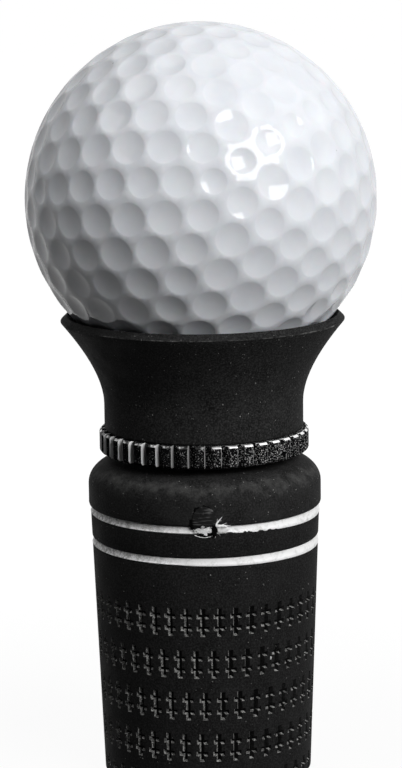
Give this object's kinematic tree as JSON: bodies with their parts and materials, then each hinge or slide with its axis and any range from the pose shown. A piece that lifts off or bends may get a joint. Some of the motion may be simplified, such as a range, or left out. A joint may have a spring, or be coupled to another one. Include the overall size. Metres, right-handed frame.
{
  "type": "golf ball pickup",
  "caption": "Golf ball seated in a flared rubber suction cup with a coin-edged metal ring, screwed into the butt end of a tapered rubber golf grip stub.",
  "frame": {"origin": "centre of the grip stub's flat cut end, which is the part's lowest face", "axes": "+Z along the grip's axis up through the pickup to the ball; -Y towards the camera in the picture"},
  "size_m": [0.0426, 0.0426, 0.0923],
  "materials": {
    "ball_cover": "high-gloss white cover with moulded dimples",
    "cup_rubber": "matte moulded black rubber with a fine dusty speckle",
    "screw_steel": "bright zinc plating",
    "washer_steel": "bright zinc plating, pressed",
    "ring_chrome": "dark nickel plating on a turned, coin-edged ring, lightly pitted",
    "washer_fibre": "matte black fibre",
    "cap_rubber": "matte moulded black rubber",
    "line_paint": "white line paint, slightly uneven",
    "grip_rubber": "matte moulded black rubber with rows of double-cross pits",
    "tape_paper": "creped masking tape",
    "shaft_chrome": "chromed steel tube with a bare cut end"
  },
  "bodies": {
    "handle": {"grip_sleeve": "grip_rubber", "grip_cap": "cap_rubber", "upper_stripe": "line_paint", "lower_stripe": "line_paint", "grip_tape": "tape_paper", "shaft_tube": "shaft_chrome"},
    "washer": {"friction_washer": "washer_fibre"},
    "pickup": {"suction_cup": "cup_rubber", "coin_edge_ring": "ring_chrome", "mounting_screw": "screw_steel", "head_washer": "washer_steel"},
    "ball": {"golf_ball": "ball_cover"}
  },
  "joints": [
    {"name": "screw_travel", "type": "slide", "parent": "handle", "child": "washer", "axis": [0, 0, 1], "range_m": [0, 0.012]},
    {"name": "pickup_turn", "type": "hinge", "parent": "washer", "child": "pickup", "pos_m": [0, 0, 0.0402], "axis": [0, 0, 1], "range_deg": [0, 2160]},
    {"name": "ball_lift", "type": "slide", "parent": "pickup", "child": "ball", "axis": [0, 0, 1], "range_m": [0, 0.03]}
  ],
  "couplings": [
    {"joint": "screw_travel", "follows": "pickup_turn", "m_per_rad": 0.0003183}
  ]
}
